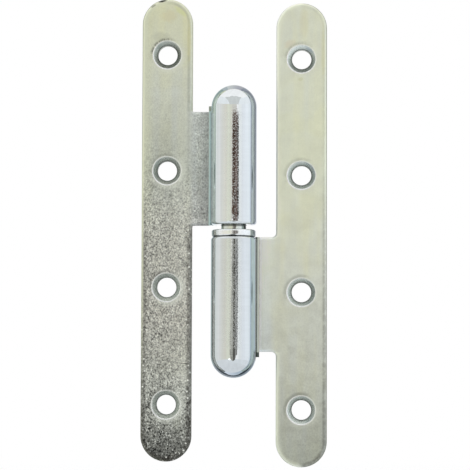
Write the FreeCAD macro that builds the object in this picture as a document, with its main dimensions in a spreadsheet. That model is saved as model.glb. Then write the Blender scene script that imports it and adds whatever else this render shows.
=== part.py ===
import FreeCAD, Part

import math
import os

import Sketcher

# Lift-off hinge for a door or shutter, opened flat.
# X runs across the two leaves, Y from the countersunk faces to the backs and Z up the pin.
# The origin is on the pin's axis, at the middle of the whole height.
# The leaf with the pin stands on the +X side and the leaf that lifts off on the -X side.
# Both leaves are the same rolled section, solid knuckle and plate in one piece.
# All lengths are in millimetres.

SIZES = {
    # Plates
    "leaf_height": 140.0,
    "leaf_reach": 28.0,
    "strip_width": 15.3,
    "leaf_thickness": 3.0,
    "face_setback": 1.0,
    "edge_round": 0.85,
    "tab_height": 34.5,
    "female_corner": 0.5,
    "male_corner": 1.4,
    # Knuckles
    "knuckle_diameter": 13.8,
    "knuckle_length": 42.4,
    "knuckle_round": 0.9,
    "web_blend": 0.8,
    "web_stub": 1.6,
    # Pin and its two bores
    "pin_diameter": 7.5,
    "pin_clearance": 0.05,
    "pin_free_length": 30.0,
    "pin_seat_depth": 20.0,
    "pin_chamfer": 0.8,
    "bore_chamfer": 0.4,
    "bore_end_gap": 1.5,
    "drill_point": 118.0,
    # Ring between the knuckles
    "ring_diameter": 13.3,
    "ring_thickness": 2.1,
    "ring_clearance": 0.08,
    "ring_round": 0.55,
    # Countersunk screw holes
    "hole_diameter": 5.9,
    "hole_margin": 17.05,
    "hole_count": 4,
    "countersink_diameter": 8.7,
    "countersink_angle": 90.0,
    "countersink_round": 0.25,
    # Height that the upper leaf stands above its seat
    "lift": 1.45,
}

# Distances from a leaf's own middle height, where the two knuckles meet, with its knuckle upwards
KNUCKLE_END = "sizes.ring_thickness / 2"
KNUCKLE_TOP = f"({KNUCKLE_END} + sizes.knuckle_length)"
TAB_TOP = f"({KNUCKLE_END} + sizes.tab_height)"
STRIP_STRAIGHT = "(sizes.leaf_height - sizes.strip_width) / 2"
STRIP_INNER = "(sizes.leaf_reach - sizes.strip_width)"
STRIP_MIDDLE = "(sizes.leaf_reach - sizes.strip_width / 2)"
KNUCKLE_RADIUS = "sizes.knuckle_diameter / 2"
PIN_RADIUS = "sizes.pin_diameter / 2"
BACK_FACE = "(sizes.face_setback + sizes.leaf_thickness)"
HOLE_SPAN = "(sizes.leaf_height - 2 * sizes.hole_margin)"

# How a sketch numbers an edge's points
START, END, CENTRE = range(1, 4)

# Two places closer than this are the same place
SAME_PLACE = 1e-6

doc = FreeCAD.newDocument("lift_off_hinge")
sheet = doc.addObject("Spreadsheet::Sheet", "sizes")
for row, (alias, value) in enumerate(SIZES.items(), start=1):
    sheet.set(f"A{row}", alias)
    sheet.set(f"B{row}", str(value))
    sheet.setAlias(f"B{row}", alias)
doc.recompute()


def number(expression):
    """The value that an expression on the sheet has."""
    return float(sheet.evalExpression(expression))


def same(first, second):
    return abs(first - second) < SAME_PLACE


def point(across, along):
    """A sketch point from two expressions."""
    return FreeCAD.Vector(number(across), number(along), 0)


def new_body(label):
    body = doc.addObject("PartDesign::Body", label)
    body.Label = label
    return body


def new_sketch(body, name, role, offset=None):
    """A sketch on one of the body's own planes, moved along that plane's normal."""
    plane = next(item for item in body.Origin.OriginFeatures if item.Role == role)
    sketch = body.newObject("Sketcher::SketchObject", f"{body.Name}_{name}")
    sketch.AttachmentSupport = [(plane, "")]
    sketch.MapMode = "FlatFace"
    if offset:
        sketch.setExpression("AttachmentOffset.Base.z", offset)
    return sketch


def line(first, last):
    return Part.LineSegment(first, last)


def arc(first, last, centre, clockwise):
    """The arc of less than a turn from first to last about centre."""
    circle = Part.Circle(centre, FreeCAD.Vector(0, 0, 1), (first - centre).Length)
    low, high = (last, first) if clockwise else (first, last)
    return Part.ArcOfCircle(circle, circle.parameter(low), circle.parameter(high))


def draw_loop(sketch, edges):
    """Adds a closed chain of edges, each written as (geometry, clockwise), and returns its ends."""
    ends = []
    for geometry, clockwise in edges:
        index = sketch.addGeometry(geometry, False)
        ends.append((index, END, START) if clockwise else (index, START, END))
    return ends


def join(sketch, kind, before, after):
    """Joins the far end of one edge to the near end of the next."""
    sketch.addConstraint(Sketcher.Constraint(kind, before[0], before[2], after[0], after[1]))


def put_on_axis(sketch, edge, place):
    """Puts a point of an edge on the sketch's own upright axis, which counts as edge -2."""
    sketch.addConstraint(Sketcher.Constraint("PointOnObject", edge[0], place, -2))


def dimension(sketch, kind, where, expression):
    """A driving dimension that the sheet sets."""
    index = sketch.addConstraint(Sketcher.Constraint(kind, *where, number(expression)))
    sketch.setExpression(f"Constraints[{index}]", expression)


def new_feature(body, kind, name, profile):
    feature = body.newObject(f"PartDesign::{kind}", f"{body.Name}_{name}")
    feature.Profile = profile
    profile.Visibility = False
    return feature


def turned(body, kind, name, profile):
    """A Revolution or Groove of a sketch about the pin's axis."""
    feature = new_feature(body, kind, name, profile)
    feature.ReferenceAxis = (profile, ["V_Axis"])
    feature.Angle = 360
    return feature


def add_plate(body, corner):
    """The full-height strip with round ends, and the tab that reaches in to the knuckle."""
    sketch = new_sketch(body, "outline", "XZ_Plane", f"-{BACK_FACE}")
    radius = "sizes.strip_width / 2"
    inner_x = f"-{STRIP_INNER}"
    tab_x = f"-{STRIP_INNER} + {corner}"
    outer_low = point("-sizes.leaf_reach", f"-{STRIP_STRAIGHT}")
    outer_high = point("-sizes.leaf_reach", STRIP_STRAIGHT)
    inner_high = point(inner_x, STRIP_STRAIGHT)
    inner_low = point(inner_x, f"-{STRIP_STRAIGHT}")
    above_tab = point(inner_x, f"{TAB_TOP} + {corner}")
    tab_high = point(tab_x, TAB_TOP)
    end_high = point("0", TAB_TOP)
    end_low = point("0", KNUCKLE_END)
    tab_low = point(tab_x, KNUCKLE_END)
    below_tab = point(inner_x, f"{KNUCKLE_END} - {corner}")
    top_centre = point(f"-{STRIP_MIDDLE}", STRIP_STRAIGHT)
    low_centre = point(f"-{STRIP_MIDDLE}", f"-{STRIP_STRAIGHT}")
    high_corner = point(tab_x, f"{TAB_TOP} + {corner}")
    low_corner = point(tab_x, f"{KNUCKLE_END} - {corner}")
    ends = draw_loop(sketch, [
        (line(outer_low, outer_high), False),
        (arc(outer_high, inner_high, top_centre, True), True),
        (line(inner_high, above_tab), False),
        (arc(above_tab, tab_high, high_corner, False), False),
        (line(tab_high, end_high), False),
        (line(end_high, end_low), False),
        (line(end_low, tab_low), False),
        (arc(tab_low, below_tab, low_corner, False), False),
        (line(below_tab, inner_low), False),
        (arc(inner_low, outer_low, low_centre, True), True),
    ])
    outer, top, inner_top, corner_top, tab_top, tab_end, tab_foot, corner_foot, inner_foot, foot = ends
    smooth = [(outer, top), (top, inner_top), (inner_top, corner_top), (corner_top, tab_top)]
    smooth += [(tab_foot, corner_foot), (corner_foot, inner_foot), (inner_foot, foot), (foot, outer)]
    for before, after in smooth:
        join(sketch, "Tangent", before, after)
    join(sketch, "Coincident", tab_top, tab_end)
    join(sketch, "Coincident", tab_end, tab_foot)
    for edge in (outer, inner_top, inner_foot, tab_end):
        sketch.addConstraint(Sketcher.Constraint("Vertical", edge[0]))
    for edge in (tab_top, tab_foot):
        sketch.addConstraint(Sketcher.Constraint("Horizontal", edge[0]))
    put_on_axis(sketch, tab_end, START)
    sketch.addConstraint(Sketcher.Constraint("Equal", top[0], foot[0]))
    sketch.addConstraint(Sketcher.Constraint("Equal", corner_top[0], corner_foot[0]))
    dimension(sketch, "Radius", (top[0],), radius)
    dimension(sketch, "Radius", (corner_top[0],), corner)
    dimension(sketch, "DistanceX", (outer[0], START), "-sizes.leaf_reach")
    dimension(sketch, "DistanceY", (top[0], CENTRE), STRIP_STRAIGHT)
    dimension(sketch, "DistanceY", (foot[0], CENTRE), f"-{STRIP_STRAIGHT}")
    dimension(sketch, "DistanceY", (tab_end[0], START), TAB_TOP)
    dimension(sketch, "DistanceY", (tab_end[0], END), KNUCKLE_END)
    plate = new_feature(body, "Pad", "plate", sketch)
    plate.setExpression("Length", "sizes.leaf_thickness")
    doc.recompute()
    return plate


def round_plate_edges(body, plate):
    """Rounds the plate's outline on both faces, apart from the end inside the knuckle."""
    faces_at = (number("sizes.face_setback"), number(BACK_FACE))
    names = []
    for index, edge in enumerate(plate.Shape.Edges, start=1):
        box = edge.BoundBox
        on_a_face = same(box.YLength, 0) and any(same(box.YMin, place) for place in faces_at)
        if on_a_face and not same(box.XMin, 0):
            names.append(f"Edge{index}")
    rounding = body.newObject("PartDesign::Fillet", f"{body.Name}_plate_edges")
    rounding.Base = (plate, names)
    rounding.setExpression("Radius", "sizes.edge_round")
    doc.recompute()


def add_knuckle(body):
    """The solid barrel, domed at its free end and rounded at the end that meets the ring."""
    sketch = new_sketch(body, "knuckle_profile", "XZ_Plane")
    flat_edge = f"{KNUCKLE_RADIUS} - sizes.knuckle_round"
    above_round = f"{KNUCKLE_END} + sizes.knuckle_round"
    dome_foot = f"{KNUCKLE_TOP} - {KNUCKLE_RADIUS}"
    foot = point("0", KNUCKLE_END)
    round_start = point(flat_edge, KNUCKLE_END)
    round_end = point(KNUCKLE_RADIUS, above_round)
    dome_start = point(KNUCKLE_RADIUS, dome_foot)
    top = point("0", KNUCKLE_TOP)
    ends = draw_loop(sketch, [
        (line(foot, round_start), False),
        (arc(round_start, round_end, point(flat_edge, above_round), False), False),
        (line(round_end, dome_start), False),
        (arc(dome_start, top, point("0", dome_foot), False), False),
        (line(top, foot), False),
    ])
    end_face, rounding, side, dome, axis = ends
    join(sketch, "Tangent", end_face, rounding)
    join(sketch, "Tangent", rounding, side)
    join(sketch, "Tangent", side, dome)
    join(sketch, "Coincident", dome, axis)
    join(sketch, "Coincident", axis, end_face)
    sketch.addConstraint(Sketcher.Constraint("Horizontal", end_face[0]))
    sketch.addConstraint(Sketcher.Constraint("Vertical", side[0]))
    sketch.addConstraint(Sketcher.Constraint("Vertical", axis[0]))
    put_on_axis(sketch, axis, START)
    put_on_axis(sketch, dome, CENTRE)
    dimension(sketch, "DistanceY", (axis[0], END), KNUCKLE_END)
    dimension(sketch, "DistanceY", (axis[0], START), KNUCKLE_TOP)
    dimension(sketch, "DistanceX", (side[0], START), KNUCKLE_RADIUS)
    dimension(sketch, "Radius", (rounding[0],), "sizes.knuckle_round")
    turned(body, "Revolution", "knuckle", sketch)
    doc.recompute()


def add_web(body):
    """The hollow blends of the rolled section, with the short stub that trimming leaves past the tab."""
    sketch = new_sketch(body, "web_section", "XY_Plane", KNUCKLE_END)
    reach = f"({KNUCKLE_RADIUS} + sizes.web_blend)"
    front_y = "(sizes.face_setback - sizes.web_blend)"
    back_y = f"({BACK_FACE} + sizes.web_blend)"
    shrink = f"{KNUCKLE_RADIUS} / {reach}"
    sides = []
    for face, centre_y in (("sizes.face_setback", front_y), (BACK_FACE, back_y)):
        centre_x = f"-sqrt({reach}^2 - {centre_y}^2)"
        sides.append({
            "centre": (centre_x, centre_y),
            "on_plate": (centre_x, face),
            "on_knuckle": (f"{centre_x} * {shrink}", f"{centre_y} * {shrink}"),
        })
    front, back = sides
    front_arc = arc(point(*front["on_knuckle"]), point(*front["on_plate"]), point(*front["centre"]), False)
    back_arc = arc(point(*back["on_plate"]), point(*back["on_knuckle"]), point(*back["centre"]), False)
    ends = draw_loop(sketch, [
        (front_arc, False),
        (line(point(*front["on_plate"]), point(*back["on_plate"])), False),
        (back_arc, False),
        (line(point(*back["on_knuckle"]), point(*front["on_knuckle"])), False),
    ])
    for before, after in zip(ends, ends[1:] + ends[:1]):
        join(sketch, "Coincident", before, after)
    blends = ((front, ends[0][0], END, START), (back, ends[2][0], START, END))
    for side, edge, plate_end, knuckle_end in blends:
        dimension(sketch, "DistanceX", (edge, CENTRE), side["centre"][0])
        dimension(sketch, "DistanceY", (edge, CENTRE), side["centre"][1])
        dimension(sketch, "Radius", (edge,), "sizes.web_blend")
        dimension(sketch, "DistanceX", (edge, plate_end), side["on_plate"][0])
        dimension(sketch, "DistanceY", (edge, knuckle_end), side["on_knuckle"][1])
    web = new_feature(body, "Pad", "web", sketch)
    web.setExpression("Length", "sizes.tab_height + sizes.web_stub")
    doc.recompute()


def add_screw_holes(body):
    """Countersunk holes up the middle of the strip, open to the front face."""
    sketch = new_sketch(body, "hole_centre", "XZ_Plane", "-sizes.face_setback")
    lowest = f"-{HOLE_SPAN} / 2"
    centre = point(f"-{STRIP_MIDDLE}", lowest)
    circle = Part.Circle(centre, FreeCAD.Vector(0, 0, 1), number("sizes.hole_diameter") / 2)
    index = sketch.addGeometry(circle, False)
    dimension(sketch, "Diameter", (index,), "sizes.hole_diameter")
    dimension(sketch, "DistanceX", (index, CENTRE), f"-{STRIP_MIDDLE}")
    dimension(sketch, "DistanceY", (index, CENTRE), lowest)
    doc.recompute()
    hole = new_feature(body, "Hole", "screw_hole", sketch)
    hole.DepthType = "ThroughAll"
    hole.HoleCutType = "Countersink"
    hole.HoleCutCustomValues = True
    hole.setExpression("Diameter", "sizes.hole_diameter")
    hole.setExpression("HoleCutDiameter", "sizes.countersink_diameter")
    hole.setExpression("HoleCutCountersinkAngle", "sizes.countersink_angle")
    doc.recompute()
    holes = body.newObject("PartDesign::LinearPattern", f"{body.Name}_screw_holes")
    holes.Originals = [hole]
    holes.Direction = (sketch, ["V_Axis"])
    holes.setExpression("Length", HOLE_SPAN)
    holes.setExpression("Occurrences", "sizes.hole_count")
    body.Tip = holes
    doc.recompute()
    return holes


def round_countersinks(body, holes):
    """Rounds the rim of each countersink where it meets the front face."""
    rim_length = number("sizes.countersink_diameter") * math.pi
    front = number("sizes.face_setback")
    names = []
    for index, edge in enumerate(holes.Shape.Edges, start=1):
        if same(edge.Length, rim_length) and same(edge.CenterOfMass.y, front):
            names.append(f"Edge{index}")
    if len(names) != number("sizes.hole_count"):
        raise RuntimeError(f"{body.Label}: {len(names)} countersink rims found")
    rounding = body.newObject("PartDesign::Fillet", f"{body.Name}_countersink_rims")
    rounding.Base = (holes, names)
    rounding.setExpression("Radius", "sizes.countersink_round")
    doc.recompute()


def add_bore(body, radius, depth):
    """A blind drilled bore up the knuckle from its inner end, with a chamfered mouth."""
    sketch = new_sketch(body, "bore_profile", "XZ_Plane")
    mouth = f"{radius} + sizes.bore_chamfer"
    chamfer_top = f"{KNUCKLE_END} + sizes.bore_chamfer"
    wall_top = f"{KNUCKLE_END} + {depth}"
    cone_top = f"{wall_top} + ({radius}) / tan(sizes.drill_point / 2 * 1 deg)"
    corners = [
        ("0", KNUCKLE_END),
        (mouth, KNUCKLE_END),
        (radius, chamfer_top),
        (radius, wall_top),
        ("0", cone_top),
    ]
    places = [point(*corner) for corner in corners]
    ends = draw_loop(sketch, [
        (line(first, last), False) for first, last in zip(places, places[1:] + places[:1])
    ])
    for before, after in zip(ends, ends[1:] + ends[:1]):
        join(sketch, "Coincident", before, after)
    face, chamfer, wall, cone, axis = ends
    put_on_axis(sketch, face, START)
    sketch.addConstraint(Sketcher.Constraint("Vertical", axis[0]))
    sketch.addConstraint(Sketcher.Constraint("Vertical", wall[0]))
    sketch.addConstraint(Sketcher.Constraint("Horizontal", face[0]))
    dimension(sketch, "DistanceY", (face[0], START), KNUCKLE_END)
    dimension(sketch, "DistanceX", (face[0], END), mouth)
    dimension(sketch, "DistanceX", (wall[0], START), radius)
    dimension(sketch, "DistanceY", (wall[0], START), chamfer_top)
    dimension(sketch, "DistanceY", (wall[0], END), wall_top)
    dimension(sketch, "DistanceY", (cone[0], END), cone_top)
    turned(body, "Groove", "bore", sketch)
    doc.recompute()


def build_leaf(label, corner, bore_radius, bore_depth):
    """One leaf in its own frame: plate on the -X side, knuckle upwards, middle height at zero."""
    body = new_body(label)
    plate = add_plate(body, corner)
    round_plate_edges(body, plate)
    add_knuckle(body)
    add_web(body)
    round_countersinks(body, add_screw_holes(body))
    before = body.Shape.Volume
    add_bore(body, bore_radius, bore_depth)
    if not body.Shape.Volume < before:
        raise RuntimeError(f"{label}: the bore cuts nothing")
    return body


def build_pin():
    """The plain pin: it stands on its seat at the origin's height and is chamfered at both ends."""
    body = new_body("hinge_pin")
    sketch = new_sketch(body, "profile", "XZ_Plane")
    low = "-sizes.pin_seat_depth"
    high = "sizes.pin_free_length"
    neck = f"{PIN_RADIUS} - sizes.pin_chamfer"
    corners = [
        ("0", low),
        (neck, low),
        (PIN_RADIUS, f"{low} + sizes.pin_chamfer"),
        (PIN_RADIUS, f"{high} - sizes.pin_chamfer"),
        (neck, high),
        ("0", high),
    ]
    places = [point(*corner) for corner in corners]
    ends = draw_loop(sketch, [
        (line(first, last), False) for first, last in zip(places, places[1:] + places[:1])
    ])
    for before, after in zip(ends, ends[1:] + ends[:1]):
        join(sketch, "Coincident", before, after)
    foot, low_chamfer, side, high_chamfer, tip, axis = ends
    put_on_axis(sketch, foot, START)
    for edge in (side, axis):
        sketch.addConstraint(Sketcher.Constraint("Vertical", edge[0]))
    for edge in (foot, tip):
        sketch.addConstraint(Sketcher.Constraint("Horizontal", edge[0]))
    dimension(sketch, "DistanceY", (foot[0], START), low)
    dimension(sketch, "DistanceX", (foot[0], END), neck)
    dimension(sketch, "DistanceX", (side[0], START), PIN_RADIUS)
    dimension(sketch, "DistanceY", (side[0], START), corners[2][1])
    dimension(sketch, "DistanceY", (side[0], END), corners[3][1])
    dimension(sketch, "DistanceX", (tip[0], START), neck)
    dimension(sketch, "DistanceY", (tip[0], START), high)
    turned(body, "Revolution", "pin", sketch)
    doc.recompute()
    return body


def build_ring():
    """The loose ring on the pin, rounded along its outer edges, with its middle height at zero."""
    body = new_body("bearing_ring")
    sketch = new_sketch(body, "profile", "XZ_Plane")
    inner = f"{PIN_RADIUS} + sizes.ring_clearance"
    outer = "sizes.ring_diameter / 2"
    flat = f"{outer} - sizes.ring_round"
    half = "sizes.ring_thickness / 2"
    low_side = f"-{half} + sizes.ring_round"
    high_side = f"{half} - sizes.ring_round"
    inner_low = point(inner, f"-{half}")
    flat_low = point(flat, f"-{half}")
    side_low = point(outer, low_side)
    side_high = point(outer, high_side)
    flat_high = point(flat, half)
    inner_high = point(inner, half)
    ends = draw_loop(sketch, [
        (line(inner_low, flat_low), False),
        (arc(flat_low, side_low, point(flat, low_side), False), False),
        (line(side_low, side_high), False),
        (arc(side_high, flat_high, point(flat, high_side), False), False),
        (line(flat_high, inner_high), False),
        (line(inner_high, inner_low), False),
    ])
    foot, low_round, side, high_round, top, wall = ends
    for before, after in ((foot, low_round), (low_round, side), (side, high_round), (high_round, top)):
        join(sketch, "Tangent", before, after)
    join(sketch, "Coincident", top, wall)
    join(sketch, "Coincident", wall, foot)
    for edge in (side, wall):
        sketch.addConstraint(Sketcher.Constraint("Vertical", edge[0]))
    for edge in (foot, top):
        sketch.addConstraint(Sketcher.Constraint("Horizontal", edge[0]))
    sketch.addConstraint(Sketcher.Constraint("Equal", low_round[0], high_round[0]))
    dimension(sketch, "Radius", (low_round[0],), "sizes.ring_round")
    dimension(sketch, "DistanceX", (wall[0], START), inner)
    dimension(sketch, "DistanceX", (side[0], START), outer)
    dimension(sketch, "DistanceY", (wall[0], START), half)
    dimension(sketch, "DistanceY", (wall[0], END), f"-{half}")
    turned(body, "Revolution", "ring", sketch)
    doc.recompute()
    return body


def place(body, height, half_turn=False):
    """Sets a body up the pin's axis, turned over about Y where it stands knuckle down."""
    turn = FreeCAD.Rotation(FreeCAD.Vector(0, 1, 0), 180 if half_turn else 0)
    body.Placement = FreeCAD.Placement(FreeCAD.Vector(0, 0, number(height)), turn)
    body.setExpression("Placement.Base.z", height)


bore_depth = "(sizes.pin_free_length - sizes.ring_thickness + sizes.bore_end_gap)"
female_leaf = build_leaf(
    "female_leaf", "sizes.female_corner", f"{PIN_RADIUS} + sizes.pin_clearance", bore_depth
)
male_leaf = build_leaf("male_leaf", "sizes.male_corner", PIN_RADIUS, "sizes.pin_seat_depth")
hinge_pin = build_pin()
bearing_ring = build_ring()

place(female_leaf, "sizes.lift / 2")
place(male_leaf, "-sizes.lift / 2", half_turn=True)
place(bearing_ring, "-sizes.lift / 2")
place(hinge_pin, f"-sizes.lift / 2 - {KNUCKLE_END}")
doc.recompute()

for item in doc.Objects:
    if "Invalid" in item.State or "Error" in item.State:
        raise RuntimeError(f"{item.Name} failed: {item.State}")

pieces = [female_leaf, male_leaf, hinge_pin, bearing_ring]
for body in pieces:
    shape = body.Shape
    if shape.isNull() or not shape.isValid() or len(shape.Solids) != 1:
        raise RuntimeError(f"{body.Label} is not one valid solid")

os.makedirs("parts", exist_ok=True)
for body in pieces:
    body.Shape.exportStep(f"parts/{body.Label}.step")
    print(body.Label, "volume", round(body.Shape.Volume, 1))
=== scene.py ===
import math

import bmesh
import bpy
from mathutils import Matrix, Vector


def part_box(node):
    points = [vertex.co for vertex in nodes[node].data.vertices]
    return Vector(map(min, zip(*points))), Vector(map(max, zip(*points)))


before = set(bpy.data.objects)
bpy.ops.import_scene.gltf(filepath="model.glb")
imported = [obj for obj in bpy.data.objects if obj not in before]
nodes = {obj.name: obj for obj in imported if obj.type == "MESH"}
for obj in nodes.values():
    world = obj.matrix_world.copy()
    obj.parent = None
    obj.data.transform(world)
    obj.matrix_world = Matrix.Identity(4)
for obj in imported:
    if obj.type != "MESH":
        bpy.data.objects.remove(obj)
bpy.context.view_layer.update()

# Zinc-plated lift-off hinge on a pale floor in soft studio light.
# Lengths are in metres in the scene and in millimetres inside the materials.

scene = bpy.context.scene
scene.view_settings.view_transform = "Standard"

# Camera fitted to the edges and hole centres of the photograph
IMAGE_SIDE = 470
SENSOR = 36.0
CAMERA_AZIMUTH = math.radians(3.0)
CAMERA_ELEVATION = math.radians(-3.34)
CAMERA_ROLL = math.radians(0.184)
CAMERA_DISTANCE = 0.5858
CAMERA_FOCUS_PIXELS = 1946.7
CAMERA_TARGET = Vector((0.00040, 0.0, -0.00120))


def add_camera():
    level = math.cos(CAMERA_ELEVATION)
    back = Vector((
        math.sin(CAMERA_AZIMUTH) * level,
        -math.cos(CAMERA_AZIMUTH) * level,
        math.sin(CAMERA_ELEVATION),
    ))
    data = bpy.data.cameras.new("camera")
    data.sensor_width = SENSOR
    data.lens = CAMERA_FOCUS_PIXELS * SENSOR / IMAGE_SIDE
    data.clip_start = 0.01
    data.clip_end = 50
    camera = bpy.data.objects.new("camera", data)
    aim = (-back).to_track_quat("-Z", "Y").to_matrix().to_4x4()
    roll = Matrix.Rotation(CAMERA_ROLL, 4, "Z")
    camera.matrix_world = Matrix.Translation(CAMERA_TARGET + back * CAMERA_DISTANCE) @ aim @ roll
    scene.collection.objects.link(camera)
    scene.camera = camera


def linear(red, green, blue):
    """The scene-linear colour of an 8-bit display colour."""
    values = []
    for level in (red, green, blue):
        share = level / 255
        values.append(share / 12.92 if share <= 0.04045 else ((share + 0.055) / 1.055) ** 2.4)
    return (*values, 1.0)


class Graph:
    """Adds nodes to a material's tree and gives back their output sockets."""

    def __init__(self, name):
        self.material = bpy.data.materials.new(name)
        self.material.use_nodes = True
        self.tree = self.material.node_tree
        self.tree.nodes.clear()

    def add(self, kind, **settings):
        node = self.tree.nodes.new(kind)
        for key, value in settings.items():
            setattr(node, key, value)
        return node

    def feed(self, socket, value):
        if isinstance(value, bpy.types.NodeSocket):
            self.tree.links.new(value, socket)
        elif value is not None:
            socket.default_value = value

    def math(self, operation, first, second=None, third=None, clamp=False):
        node = self.add("ShaderNodeMath", operation=operation, use_clamp=clamp)
        for socket, value in zip(node.inputs, (first, second, third)):
            self.feed(socket, value)
        return node.outputs[0]

    def smooth(self, value, low, high, to_low=0.0, to_high=1.0):
        """A smooth step from to_low to to_high while value goes from low to high."""
        node = self.add("ShaderNodeMapRange", interpolation_type="SMOOTHSTEP")
        for socket, item in zip(node.inputs, (value, low, high, to_low, to_high)):
            self.feed(socket, item)
        return node.outputs[0]

    def straight(self, value, low, high, to_low=0.0, to_high=1.0):
        """A straight line from to_low to to_high while value goes from low to high."""
        node = self.add("ShaderNodeMapRange", interpolation_type="LINEAR")
        for socket, item in zip(node.inputs, (value, low, high, to_low, to_high)):
            self.feed(socket, item)
        return node.outputs[0]

    def blend(self, share, first, second):
        """A number between two numbers."""
        node = self.add("ShaderNodeMix", data_type="FLOAT")
        self.feed(node.inputs[0], share)
        self.feed(node.inputs[2], first)
        self.feed(node.inputs[3], second)
        return node.outputs[0]

    def brighten(self, colour, factor):
        """A colour times a number."""
        node = self.add("ShaderNodeVectorMath", operation="SCALE")
        self.feed(node.inputs[0], colour[:3] if isinstance(colour, tuple) else colour)
        self.feed(node.inputs["Scale"], factor)
        return node.outputs[0]

    def times(self, first, second):
        return self.math("MULTIPLY", first, second)

    def swing(self, value, amount):
        """One plus or minus a share of a noise value."""
        return self.math("MULTIPLY_ADD", self.math("SUBTRACT", value, 0.5), amount, 1.0)

    def ramp(self, value, stops):
        node = self.add("ShaderNodeValToRGB")
        items = node.color_ramp.elements
        items[0].position, items[0].color = stops[0]
        items[1].position, items[1].color = stops[-1]
        for place, colour in stops[1:-1]:
            items.new(place).color = colour
        self.feed(node.inputs[0], value)
        return node.outputs[0]

    def grey(self, value, stops):
        """A ramp of plain numbers."""
        return self.ramp(value, [(place, (level, level, level, 1)) for place, level in stops])

    def mix(self, share, first, second, kind="MIX"):
        node = self.add("ShaderNodeMix", data_type="RGBA", blend_type=kind)
        self.feed(node.inputs[0], share)
        self.feed(node.inputs[6], first)
        self.feed(node.inputs[7], second)
        return node.outputs[2]

    def vector(self, across, deep, along):
        node = self.add("ShaderNodeCombineXYZ")
        for socket, value in zip(node.inputs, (across, deep, along)):
            self.feed(socket, value)
        return node.outputs[0]

    def scaled(self, place, across, deep, along):
        node = self.add("ShaderNodeVectorMath", operation="MULTIPLY")
        self.feed(node.inputs[0], place)
        node.inputs[1].default_value = (across, deep, along)
        return node.outputs[0]

    def noise(self, place, scale, detail=2.0, roughness=0.5, distortion=0.0):
        node = self.add("ShaderNodeTexNoise")
        self.feed(node.inputs["Vector"], place)
        node.inputs["Scale"].default_value = scale
        node.inputs["Detail"].default_value = detail
        node.inputs["Roughness"].default_value = roughness
        node.inputs["Distortion"].default_value = distortion
        return node.outputs["Fac"]

    def cells(self, place, scale, randomness=1.0):
        node = self.add("ShaderNodeTexVoronoi")
        self.feed(node.inputs["Vector"], place)
        node.inputs["Scale"].default_value = scale
        node.inputs["Randomness"].default_value = randomness
        return node.outputs["Distance"]

    def ellipse(self, place, centre, size, turn=0.0):
        """How far a point is from a mark's centre, where 1 is the mark's outline. It lies in the leaf's face."""
        node = self.add("ShaderNodeMapping", vector_type="TEXTURE")
        self.feed(node.inputs["Vector"], place)
        node.inputs["Location"].default_value = (centre[0], FACE_Y, centre[1])
        node.inputs["Rotation"].default_value = (0.0, math.radians(-turn), 0.0)
        node.inputs["Scale"].default_value = (size[0], 1.5, size[1])
        length = self.add("ShaderNodeVectorMath", operation="LENGTH")
        self.feed(length.inputs[0], node.outputs[0])
        return length.outputs["Value"]

    def bump(self, height, distance, strength=1.0, normal=None):
        node = self.add("ShaderNodeBump")
        node.inputs["Strength"].default_value = strength
        node.inputs["Distance"].default_value = distance
        self.feed(node.inputs["Height"], height)
        self.feed(node.inputs["Normal"], normal)
        return node.outputs[0]

    def place_mm(self):
        """The object's own coordinates in millimetres, whole and as three numbers."""
        coordinates = self.add("ShaderNodeTexCoord")
        whole = self.scaled(coordinates.outputs["Object"], 1000.0, 1000.0, 1000.0)
        split = self.add("ShaderNodeSeparateXYZ")
        self.feed(split.inputs[0], whole)
        return whole, split.outputs

    def metal(self, colour, roughness, normal, metallic):
        shader = self.add("ShaderNodeBsdfPrincipled")
        self.feed(shader.inputs["Base Color"], colour)
        self.feed(shader.inputs["Roughness"], roughness)
        self.feed(shader.inputs["Normal"], normal)
        self.feed(shader.inputs["Metallic"], metallic)
        output = self.add("ShaderNodeOutputMaterial")
        self.feed(output.inputs["Surface"], shader.outputs[0])
        return self.material


# The leaves' own measures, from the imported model
strip_low, strip_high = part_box("female_leaf")
LEAF_REACH = -strip_low.x * 1000
KNUCKLE_RADIUS = strip_high.x * 1000
STRIP_WIDTH = 15.3
HOLE_ACROSS = LEAF_REACH - STRIP_WIDTH / 2
HOLE_PITCH = 35.3
HOLE_RADIUS = 2.95
COUNTERSINK_RADIUS = 4.35
FACE_Y = 1.0
LEAF_MIDDLE = {"female_leaf": 0.725, "male_leaf": -0.725}
LEAF_SIDE = {"female_leaf": -1.0, "male_leaf": 1.0}
LIFT_SIDE = {"female_leaf": 1.0, "male_leaf": -1.0}
TAB_START = 1.05
TAB_END = TAB_START + 34.5
DOME_START = TAB_START + 42.4 - KNUCKLE_RADIUS
WEB_BLEND = 0.8
BLEND_START = math.hypot(math.sqrt((KNUCKLE_RADIUS + WEB_BLEND) ** 2 - (FACE_Y - WEB_BLEND) ** 2), FACE_Y)

# Colours up each leaf, darker towards the foot, as (share of its height from the foot, display colour)
PLATE_TONES = {
    "female_leaf": [
        (0.00, (92, 92, 88)), (0.15, (176, 177, 169)), (0.30, (178, 176, 168)), (0.50, (180, 179, 171)),
        (0.62, (180, 183, 175)), (0.80, (207, 210, 200)), (1.00, (216, 216, 188)),
    ],
    "male_leaf": [
        (0.00, (174, 177, 168)), (0.22, (206, 208, 198)), (0.45, (220, 222, 209)), (0.66, (222, 225, 208)),
        (1.00, (217, 219, 203)),
    ],
}
# How dirty and grained the plating is up each leaf
PLATE_SOIL = {
    "female_leaf": [(0.0, 1.0), (0.12, 0.95), (0.2, 0.62), (0.5, 0.60), (0.56, 0.45), (0.62, 0.26), (0.7, 0.10), (1.0, 0.02)],
    "male_leaf": [(0.0, 0.10), (0.2, 0.05), (0.5, 0.02), (1.0, 0.02)],
}
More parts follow.
